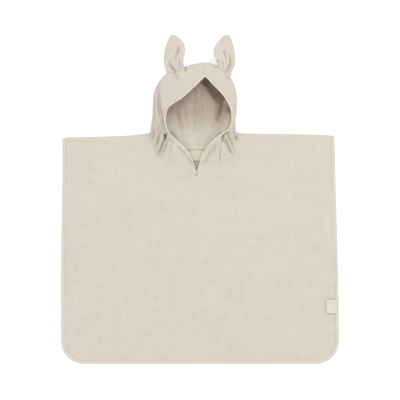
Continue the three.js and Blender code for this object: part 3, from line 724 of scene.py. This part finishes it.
RIM_LEFT = [
    (-10.5, 66), (-14, 76.8), (-19.6, 93), (-26.6, 107), (-35, 118), (-45.8, 129.6),
    (-60.2, 141.5), (-69.9, 152.4), (-76.5, 166), (-78.8, 181), (-76.5, 196.4), (-70.5, 209.2),
    (-56, 219.6), (-39.2, 230.9), (-22.2, 246.6), (-5, 262.2), (7, 275.4),
]
RIM_RIGHT = [
    (-5.2, 68), (-0.8, 77.2), (2.2, 90.4), (9.2, 106.8), (16.4, 116.4), (26, 128.8),
    (40, 139.9), (54.4, 150.2), (66.4, 161.2), (72, 176.6), (72.5, 191.6), (70, 204.6),
    (63.9, 218.8), (53.6, 234.8), (43.3, 246.6), (30.5, 259.4), (20.3, 270.8), (12.2, 275.6),
]
RIM_REACH = 9
RIM_PULL = 2.4


def by_the_neck(v):
    """1 at the neck seams, falling to 0 at their reach."""
    away = min(nearest_on(seam, v.co.x / MM, v.co.y / MM)[0] for seam in NECK_SEAMS.values())
    return ease(1 - away / NECK_REACH)


def draw_to_rims(bm, counts=lambda v: True):
    """The cloth round the face opening goes under the rolled edge."""
    for line in (RIM_LEFT, RIM_RIGHT):
        draw_to(bm, line, RIM_REACH, RIM_PULL, counts)


print("face opening round its edge in mm:", round(length_of(RIM_LEFT) + length_of(RIM_RIGHT)))

# %% [markdown]
# Sides, rounded corners and bottom share one turned edge. Its course is needed twice: the
# panels grow under its middle, and a row of stitches runs just inside it.
# %% Course of the hem

LEFT_SIDE = [
    (-309.3, 138), (-310, 60), (-310.6, -30), (-312, -110), (-312.8, -190), (-312.4, -300),
]
RIGHT_SIDE = [
    (302.8, 142), (304.6, 60), (307.2, -30), (309.8, -110), (311.6, -190), (312.6, -300),
]
HEM_Y = -368.9
CORNER_R = 51
HEM_MIDDLE = 3.5
HEM_REACH = 13
HEM_PULL = 6


def hem_line(inset):
    """A line inside the outline: down the left side, along the bottom and up the right side."""
    radius = CORNER_R - inset
    turns = [i * math.pi / 16 for i in range(1, 9)]
    y = HEM_Y + CORNER_R
    left = LEFT_SIDE[-1][0] + CORNER_R
    right = RIGHT_SIDE[-1][0] - CORNER_R
    corner_a = [(left - radius * math.cos(t), y - radius * math.sin(t)) for t in turns]
    corner_b = [(right + radius * math.sin(t), y - radius * math.cos(t)) for t in turns]
    return (
        [(x + inset, y) for x, y in LEFT_SIDE]
        + corner_a
        + [(-100, HEM_Y + inset), (100, HEM_Y + inset)]
        + corner_b
        + [(x - inset, y) for x, y in reversed(RIGHT_SIDE)]
    )


print("hem in mm:", round(length_of(hem_line(HEM_MIDDLE))))

# %% [markdown]
# The two panels lie on each other. The front one is creased at the neck, its outer face is
# waved a little, and its inner face keeps clear of the back panel. Round the neck it gets a
# little painted shade. Triangles are small only round the neck. Of the back one only a strip
# shows, in the slit of the V, and it gets painted shade there.
# %% Front and back panels

FRONT_LOW = 2.7
NECK_SHADE = 0.25
NECK_FROM = 62
NECK_HALF = 150
UNDERSIDE_EDGE = 60
FRONT_EDGE = 6.2
NECK_FINER = 4.0
BACK_EDGE = 9
SLIT = (0.05, 0.1)


def panel_edges(middle, up):
    if up < -0.4:
        return UNDERSIDE_EDGE * MM
    near = ease((middle.y / MM - NECK_FROM + 30) / 30)
    near *= ease((NECK_HALF - abs(middle.x / MM)) / 30)
    return (FRONT_EDGE - NECK_FINER * near) * MM


def front_floor(v):
    return (FRONT_LOW if v.normal.z < 0 else FRONT_LOW + 2) * MM


def draw_to_hem(bm):
    """The sides and the bottom of a panel go under the turned edge."""
    line = hem_line(HEM_MIDDLE)
    draw_to(bm, line, HEM_REACH, HEM_PULL, lambda v: abs(v.co.x) > 0.24 or v.co.y < -0.34)


bm = pattern_copy("front_panel")
cut_finer(bm, panel_edges)
soften(bm, 14, edge_times=0)
draw_to_hem(bm)
draw_to_rims(bm)
# Painted shade round the neck seams.
paint_shade(bm, lambda v: NECK_SHADE * by_the_neck(v))
for seam in NECK_SEAMS.values():
    draw_to(bm, seam, SEAM_REACH, SEAM_PULL)
crease(bm, NECK_CREASES, lambda v: 1.0, front_floor)
soften(bm, 2, edge_times=1)
uneven(bm, wave=0.9, lumps=0.6, counts=upward(0.5))
front_panel = finish_piece(bm, "front_panel_cloth", terry_cloth, ["front_panel"])

bm = pattern_copy("back_panel")
cut_finer(bm, lambda middle, up: (UNDERSIDE_EDGE if up < -0.4 else BACK_EDGE) * MM)
soften(bm, 8, edge_times=0)
draw_to_hem(bm)
draw_to(bm, BACK_NECK_SEAM, within=14, by=5)
# Painted shade on the back panel's upper face in the slit of the V.
paint_shade(bm, lambda v: 1.0 if v.normal.z > 0.3 and SLIT[0] < v.co.y < SLIT[1] else 0.0)
back_panel = finish_piece(bm, "back_panel_cloth", terry_cloth, ["back_panel"])

# %% [markdown]
# The ears are limp, so each is dented where the photographed cloth is dented, and pleated
# lengthwise towards its base. The pleats run on over the hood, so both pieces read this table.
# %% Dents of the ears

EAR_DENTS = {
    "left": [
        fold(
            [(-45.6, 348), (-47.6, 340), (-49.8, 332), (-56, 320), (-57.5, 306), (-53, 292)],
            4.0, -3.8, head=0.2, tail=0.8,
        ),
        fold([(-42, 336), (-44, 322)], 6, 1.2),
        fold(
            [(-68.4, 320), (-68.6, 308), (-66, 301), (-58.2, 291), (-54, 280), (-52, 268)],
            4.4, -4.0, head=0.3, tail=0.5,
        ),
        fold([(-62, 312), (-60, 302), (-53, 290)], 4, 2.4),
        fold([(-51, 318), (-51, 300), (-46, 284)], 4, 1.8),
        fold([(-46.5, 320), (-46, 302), (-42, 286)], 3.6, -2.2),
        fold([(-41.5, 314), (-40.6, 296)], 3.6, 1.4),
        fold([(-72, 300), (-66, 284), (-64, 272)], 4.4, 1.8),
    ],
    "right": [
        fold(
            [(64, 332), (66.4, 322), (67.4, 306), (61.4, 291), (58, 279)],
            4.6, -4.2, head=0.35, tail=0.2,
        ),
        fold(
            [(52.6, 340), (54, 330), (58, 318), (59, 306), (56, 290)],
            4, -3.2, head=0.2, tail=0.8,
        ),
        fold([(38, 312), (45.4, 307)], 4, -3.0, head=0.1),
        fold([(50.8, 314), (51.6, 298), (51, 286)], 3.6, -2.4),
        fold([(62, 324), (62.6, 306), (58.6, 290)], 4, 2.4),
        fold([(46.6, 318), (47, 300), (46, 288)], 3.8, 1.8),
        fold([(73, 318), (74, 300), (69, 284)], 5, 1.8),
        fold([(42, 304), (42.6, 290)], 3.8, -2.0),
    ],
}
print("ear dents:", {side: len(dents) for side, dents in EAR_DENTS.items()})

# %% [markdown]
# The hood is the deep part. Its back layer shows through the face opening, where it rises to a
# wall on each side and is folded once on the right. The centre seam is a flat ridge, because
# the turned edges of both halves lie under it. The front layer is folded down the left.
# %% Folds of the hood

HOOD_INSIDE = [
    fold([(-92, 232), (-86, 190), (-80, 140)], 36, 9.0, head=0.2, tail=0.2),
    fold([(-56, 214), (-50.5, 190), (-44, 162), (-36, 126)], 7, -2.0),
    fold([(-45, 216), (-41, 190), (-35, 160), (-29, 128)], 8, 2.0),
    fold([(-30, 232), (-27, 196), (-24, 150)], 9, 1.6),
    fold([(76, 212), (70, 190), (62, 166), (50, 140), (42, 126)], 27, 17, head=0.25, tail=0.45),
    fold(
        [(51, 224), (47.5, 208), (43, 193), (39.5, 179), (43, 160)],
        8.5, -5.0, head=0.12, tail=0.35,
    ),
    fold([(38, 232), (30, 200), (27, 176), (30, 152)], 8, 4.0),
    fold([(10, 276), (20, 264), (31, 248), (44, 233), (56, 222)], 17, -7.5, head=0.15, tail=0.12),
    fold([(0, 262), (10, 272), (22, 262)], 12, -3.0),
    fold([(14, 236), (12.5, 196), (17, 152)], 8, 2.0),
    fold([(-4.2, 122), (-4.2, 264)], 6.5, 1.5, head=0.05, tail=0.05),
    fold([(-11.8, 122), (-11.8, 262)], 3.0, -1.5, head=0.1, tail=0.1),
    fold([(3.0, 122), (3.0, 262)], 3.0, -1.5, head=0.1, tail=0.1),
    fold([(-4.4, 130), (-4.4, 262)], 2.4, -0.9, head=0.1, tail=0.1),
    fold([(-58, 119), (-36, 115.6), (-4.5, 115.6), (28, 115.6), (44, 120)], 8, 2.2),
    fold([(-40, 122.4), (-4.5, 122), (32, 122.4)], 2.6, -0.8),
]
HOOD_OUTSIDE = [
    fold([(-87, 250), (-86, 214), (-79, 184), (-75, 164)], 5, 2.2),
    fold([(-100, 244), (-99, 200), (-97, 164)], 6, 1.6, tail=0.3),
    fold([(-32.4, 299), (-32.4, 285)], 3.6, -5.0, head=0.2, tail=0.3),
    fold([(-52, 282), (-50, 262)], 7, -1.8),
    fold([(24, 288), (36, 277)], 9, -0.8),
    fold([(60, 282), (66, 262)], 7, -2.2),
]
print("folds inside and outside:", len(HOOD_INSIDE), len(HOOD_OUTSIDE))

# %% [markdown]
# The hood's inside gets painted shade, browner and darker the farther the cloth lies from the
# neck, where light comes in, and painted light at the neck. Its outside gets a little painted
# shade everywhere, and more at the neck seam and down the left side.
# %% How much painted shade the hood gets

NECK_LIGHT = -0.9
SHADE_GAIN = 1.9
SHADE_FROM = 112
SHADE_OVER = 90
OUTSIDE_SHADE = 0.15
LEFT_SHADE = 0.2
LEFT_FROM = -84


def hood_shade(v, inner):
    """Painted shade of a corner: painted light below 0 at the neck inside, 1 under the crown."""
    x, y = v.co.x / MM, v.co.y / MM
    if v in inner:
        return SHADE_GAIN * ease((y - SHADE_FROM) / SHADE_OVER) + NECK_LIGHT
    return OUTSIDE_SHADE + NECK_SHADE * by_the_neck(v) + LEFT_SHADE * ease((LEFT_FROM - x) / 8)


print("painted from the neck to the crown:", NECK_LIGHT, round(NECK_LIGHT + SHADE_GAIN, 1))

# %% [markdown]
# Each half of the hood is one wall that runs from the centre seam round the side to the face.
# A trough inside moves both faces of the wall, so that it isn't cut through. The hood is eased
# to the height of the front panel at the neck seam, where the two are sewn together.
# %% Making the hood

INSIDE_TOP = 24
INSIDE_FLOOR = 2.6
OUTSIDE_FLOOR = 0.1


def hood_edges(middle, up):
    return (14 if up < -0.6 and middle.z < 2 * MM else 2.3) * MM


def low_in_hood(v):
    """1 in the hood's back layer, 0 from the height where the front layer starts."""
    return ease((INSIDE_TOP - v.co.z / MM) / 6)


def straighten_back_seam(bm):
    """Brings the hood's edge at the back of the neck to one straight line."""
    for v in bm.verts:
        x, y, z = v.co / MM
        away, _, (sx, sy) = nearest_on(BACK_NECK_SEAM, x, y)
        if away < BACK_SEAM_REACH and z < 12:
            share = ease(1 - away / BACK_SEAM_REACH)
            share *= ease((BACK_SEAM_HALF - abs(x - BACK_SEAM_X)) / 10)
            v.co.y += (BACK_SEAM_Y - sy) * share * MM


def hood_piece(side):
    bm = pattern_copy("hood_" + side)
    cut_finer(bm, hood_edges)
    soften(bm, 20, edge_times=0)
    draw_to_rims(bm, lambda v: v.co.z > 22 * MM)
    seam = NECK_SEAMS[side]
    draw_to(bm, seam, SEAM_REACH, SEAM_PULL)
    draw_to(bm, BACK_NECK_SEAM, within=7, by=1.4, counts=lambda v: v.co.z < 16 * MM)
    straighten_back_seam(bm)
    draw_to(bm, CENTRE_SEAM, within=6, by=1.2, counts=lambda v: v.co.z < 28 * MM)
    draw_to(bm, CROWN_SEAM, within=6, by=1.5)
    inner = {v for v in bm.verts if faces_hollow(v)}
    # The hood gets painted shade inside and out, and painted light inside at the neck.
    paint_shade(bm, lambda v: hood_shade(v, inner))
    outside = NECK_CREASES + HOOD_OUTSIDE + EAR_DENTS[side]
    crease(bm, outside, lambda v: ease((v.co.z / MM - 16) / 8) if v not in inner else 0.0)
    crease(
        bm,
        HOOD_INSIDE,
        lambda v: low_in_hood(v) if v in inner else 0.0,
        lambda v: INSIDE_FLOOR * MM,
    )
    crease(
        bm,
        [trough for trough in HOOD_INSIDE if trough["high"] < 0],
        lambda v: low_in_hood(v) if v not in inner and v.normal.z < 0 else 0.0,
        lambda v: OUTSIDE_FLOOR * MM,
    )
    arrive_level(bm, top_of(tree_of(front_panel)), seam, 11, lambda v: v.co.z > 9 * MM)
    soften(bm, 3, edge_times=1)
    uneven(bm, wave=0.8, lumps=0.6, counts=upward(-0.3), seed=3.1)
    return finish_piece(bm, f"hood_{side}_cloth", terry_cloth, ["hood_" + side])


hood = {side: hood_piece(side) for side in ("left", "right")}

# %% [markdown]
# An ear is two layers sewn round the edge and turned, with no filling, so it lies limp and
# dented. Its base is gathered and goes into the hood's seam, so the last centimetres are pleated
# lengthwise and sink into the hood's surface, which a ray cast down finds. Its tip is rounded.
# %% Ears

EAR_BASE = {"left": [(-72.5, 278.2), (-34.5, 283.6)], "right": [(34.5, 283.6), (67.5, 272.6)]}
EAR_TUCK = 34
EAR_SINKS = {"front": (1.6, 12.0), "back": (2.8, 9.0)}
TIP_FROM = 335
TIP_OVER = 33
TIP_GROWS = 3.8
TIP_AT = {"left": -59, "right": 60.5}
TIP_HALF = 17


def tuck_ear(bm, side, layer):
    """Lets the base of an ear sink under the hood's top, but never by more than deepest."""
    height = top_of(tree_of(hood[side]))
    line = EAR_BASE[side]
    sink, deepest = EAR_SINKS[layer]
    for v in bm.verts:
        away = nearest_on(line, v.co.x / MM, v.co.y / MM)[0]
        if away < EAR_TUCK:
            top = height(v.co.x / MM, v.co.y / MM)
            target = v.co.z - deepest * MM
            if top is not None:
                target = max(target, (top - sink) * MM)
            share = ease(away / EAR_TUCK)
            v.co.z = min(v.co.z, target + (v.co.z - target) * share)
    bm.normal_update()


def ear_layer(side, layer):
    node = f"ear_{side}_{layer}"
    bm = pattern_copy(node)
    cut_finer(bm, lambda middle, up: 2.0 * MM)
    soften(bm, 14, edge_times=3)
    for v in bm.verts:
        rounder = ease(1 - abs(v.co.x / MM - TIP_AT[side]) / TIP_HALF)
        v.co.y += TIP_GROWS * MM * ease((v.co.y / MM - TIP_FROM) / TIP_OVER) * rounder
    tuck_ear(bm, side, layer)
    if layer == "front":
        crease(bm, EAR_DENTS[side], lambda v: 1.0 if v.normal.z > -0.2 else 0.6)
        soften(bm, 1, edge_times=0)
        uneven(bm, wave=0.8, lumps=0.6, counts=upward(0.2), seed=5.3)
    return finish_piece(bm, node + "_cloth", ear_cloth, [node])


ears = {
    (side, layer): ear_layer(side, layer)
    for side in ("left", "right")
    for layer in ("back", "front")
}

# %% [markdown]
# The turned edges are narrow rolls of pressed cloth. Stitching draws them in a little between
# one stitch and the next, so the rolls are puckered. The hem is pressed nearly flat, so it
# stands hardly higher than the panel. The two halves of the face edge meet in a mitre at the
# tip of the V and at the peak.
# %% Turned edges

HEM_PRESSED = 0.86
MITRES = [[(-7.9, 50), (-7.9, 64)], [(9.9, 272), (9.9, 284)]]


def off_the_floor(v):
    return 1.0 if v.co.z > 1 * MM else 0.0


def edge_roll(node, name, cut, pucker, seed, pressed=1.0, material=None, mitres=()):
    bm = pattern_copy(node)
    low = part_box(node)[0][2]
    for v in bm.verts:
        v.co.z = low + (v.co.z - low) * pressed
    cut_finer(bm, lambda middle, up: cut * MM)
    soften(bm, 6, edge_times=3)
    for mitre in mitres:
        draw_to(bm, mitre, within=6, by=0.8)
    uneven(bm, wave=0.2, lumps=pucker, counts=off_the_floor, seed=seed)
    return finish_piece(bm, name, material or edge_cloth, [node])


rims = [
    edge_roll(f"opening_edge_{side}", f"face_edge_{side}", 1.7, 0.7, seed, mitres=MITRES)
    for side, seed in (("left", 7.7), ("right", 9.1))
]
hems = [
    edge_roll(f"{side}_hem", f"{side}_hem_roll", 2.6, 0.7, seed, HEM_PRESSED, hem_cloth)
    for side, seed in (("front", 11.3), ("back", 13.9))
]

# %% [markdown]
# The facing covers the back neck seam, so its upper edge goes down under the hood's edge. The
# label is caught in the side hem, and its free end stands up a little.
# %% Facing and label

FACING_SINKS = 2.4
FACING_REACH = 7
FACING_SHADE = 0.12
LABEL_LIFT = 1.6
LABEL_HELD_FROM = 304
LABEL_FREE = 10

bm = pattern_copy("neck_facing")
cut_finer(bm, lambda middle, up: 2.4 * MM)
soften(bm, 4, edge_times=1)
draw_to(bm, BACK_NECK_SEAM, within=12, by=5)
# A little painted shade over the whole facing, which makes it browner.
paint_shade(bm, lambda v: FACING_SHADE)
for v in bm.verts:
    away = nearest_on(BACK_NECK_SEAM, v.co.x / MM, v.co.y / MM)[0]
    v.co.z -= FACING_SINKS * MM * ease(1 - away / FACING_REACH)
uneven(bm, wave=0.5, lumps=0.4, counts=upward(0.3), seed=15.2)
facing = finish_piece(bm, "neck_facing_cloth", facing_cloth, ["neck_facing"])

bm = pattern_copy("label")
cut_finer(bm, lambda middle, up: 1.6 * MM)
soften(bm, 2, edge_times=1)
for v in bm.verts:
    v.co.z += LABEL_LIFT * MM * ease((LABEL_HELD_FROM - v.co.x / MM) / LABEL_FREE)
uneven(bm, wave=0.5, lumps=0.2, counts=lambda v: 1.0, seed=17.5)
label = finish_piece(bm, "label_tape_bare", label_tape, ["label"])

# %% [markdown]
# Every seam is top-stitched. One stitch is a short capsule of thread, made once from a cone
# primitive with bevelled ends, and copied along each seam.
# %% One stitch

STITCH_LENGTH = 2.5
THREAD_RADIUS = 0.32
ROUNDED = 0.6


def one_stitch():
    bm = bmesh.new()
    bmesh.ops.create_cone(
        bm,
        cap_ends=True,
        segments=6,
        radius1=THREAD_RADIUS * MM,
        radius2=THREAD_RADIUS * MM,
        depth=STITCH_LENGTH * MM,
    )
    ends = [e for e in bm.edges if abs(e.verts[0].co.z - e.verts[1].co.z) < 1e-9]
    bmesh.ops.bevel(
        bm,
        geom=ends,
        offset=THREAD_RADIUS * ROUNDED * MM,
        offset_type="OFFSET",
        affect="EDGES",
        segments=1,
        profile=0.5,
        material=-1,
    )
    mesh = bpy.data.meshes.new("one_stitch")
    bm.to_mesh(mesh)
    bm.free()
    return mesh


stitch_mesh = one_stitch()
print("corners of one stitch:", len(stitch_mesh.vertices))

# %% [markdown]
# A seam is given by a few points. A smooth curve is laid through them, and even steps along it
# are where one stitch ends and the next begins.
# %% Even steps along a seam

CURVE_STEPS = 24


def smooth_points(line, pitch):
    """Points a pitch apart along a smooth curve through a line of points, in mm."""
    points = [Vector((x, y, 0)) for x, y in line]
    fine = []
    for i in range(len(points) - 1):
        a = points[max(0, i - 1)]
        b, c = points[i], points[i + 1]
        d = points[min(len(points) - 1, i + 2)]
        for step in range(CURVE_STEPS):
            t = step / CURVE_STEPS
            fine.append(
                0.5
                * (
                    2 * b
                    + (c - a) * t
                    + (2 * a - 5 * b + 4 * c - d) * t**2
                    + (3 * b - a - 3 * c + d) * t**3
                )
            )
    fine.append(points[-1])
    even = [fine[0]]
    left = pitch
    for a, b in zip(fine, fine[1:]):
        length = (b - a).length
        while length > 1e-9 and left <= length:
            a = a + (b - a) * (left / length)
            length = (b - a).length
            even.append(a)
            left = pitch
        left -= length
    return even


print("steps of 10 mm in a line of 100 mm:", len(smooth_points([(0, 0), (100, 0)], 10)) - 1)

# %% [markdown]
# A ray cast straight down finds the cloth under each stitch, so a row follows every fold. The
# thread is pulled tight, so it sinks a little into the pile.
# %% A row of stitches

STITCH_PITCH = 3.3
THREAD_SINKS = 0.15


def stitch_row(name, cloths, lines, from_height=80.0, sunk=0.1, pitch=STITCH_PITCH, bold=1.0):
    """Stitches along lines of points on the first cloth that a ray from above meets."""
    trees = [tree_of(cloth) for cloth in cloths]
    bm = bmesh.new()
    count = 0
    for line in lines:
        points = smooth_points(line, pitch)
        for a, b in zip(points, points[1:]):
            middle = (a + b) / 2
            start = Vector((middle.x, middle.y, from_height)) * MM
            hits = [tree.ray_cast(start, Vector((0, 0, -1))) for tree in trees]
            hits = [hit for hit in hits if hit[0] is not None]
            if not hits:
                continue
            spot, normal = max(hits, key=lambda hit: hit[0].z)[:2]
            run = (b - a).normalized()
            run = (run - normal * run.dot(normal)).normalized()
            before = len(bm.verts)
            bm.from_mesh(stitch_mesh)
            bm.verts.ensure_lookup_table()
            turn = run.to_track_quat("Z", "Y").to_matrix()
            lift = normal * (THREAD_RADIUS * bold - sunk - THREAD_SINKS) * MM
            for v in bm.verts[before:]:
                v.co = turn @ v.co * bold + spot + lift
            count += 1
    print(name, "stitches:", count)
    return finish_piece(bm, name, thread, [])


# %% [markdown]
# The rows of stitches, in millimetres on the garment. The face edge has one row along the
# middle of the roll. The hem row runs just inside the roll. Inside the hood, two rows lie
# beside the centre seam and two above the neck seam.
# %% Rows of stitches

STITCH_INSET = 8.6

rows = [
    stitch_row("stitches_face_edge", rims, [RIM_LEFT, RIM_RIGHT]),
    stitch_row("stitches_hem", [front_panel], [hem_line(STITCH_INSET)], sunk=0.2),
    stitch_row(
        "stitches_shoulder",
        [front_panel],
        [[(-300, 131.6), (-240, 132.4), (-180, 134)], [(150, 136), (225, 137.6), (295, 136)]],
    ),
    stitch_row(
        "stitches_hood_seam",
        list(hood.values()),
        [[(-11.2, 124), (-11.2, 200), (-10.8, 262)], [(2.2, 124), (2.2, 200), (2.6, 262)]],
        from_height=20.0,
    ),
    stitch_row(
        "stitches_neck_seam",
        list(hood.values()),
        [[(-34, 119.8), (-4.5, 119.4), (26, 119.8)], [(-38, 125.4), (-4.5, 125), (30, 125.4)]],
        from_height=18.0,
        pitch=6.6,
        bold=1.6,
    ),
    stitch_row(
        "stitches_facing",
        [facing],
        [[(-40, 103), (-6, 100.5), (28, 103)], [(-34, 90), (-6, 84.5), (24, 90)]],
        from_height=8.0,
    ),
    stitch_row(
        "stitches_below_v",
        [front_panel],
        [[(-35, 58.4), (-23, 55.6), (-11.7, 54), (9.7, 53.6), (22, 55.4), (35.8, 58.6)]],
    ),
    stitch_row(
        "stitches_label",
        [label],
        [[(306.4, -227), (306.4, -253)]],
    ),
]

# %% [markdown]
# Last comes the area of one face of each sheet of cloth.
# %% Sheets and sizes

for sheet in [front_panel, back_panel, *hood.values(), *ears.values(), facing]:
    both_faces = sum(face.area for face in sheet.data.polygons)
    print(sheet.name, "one face in square metres:", round(both_faces / 2, 4))
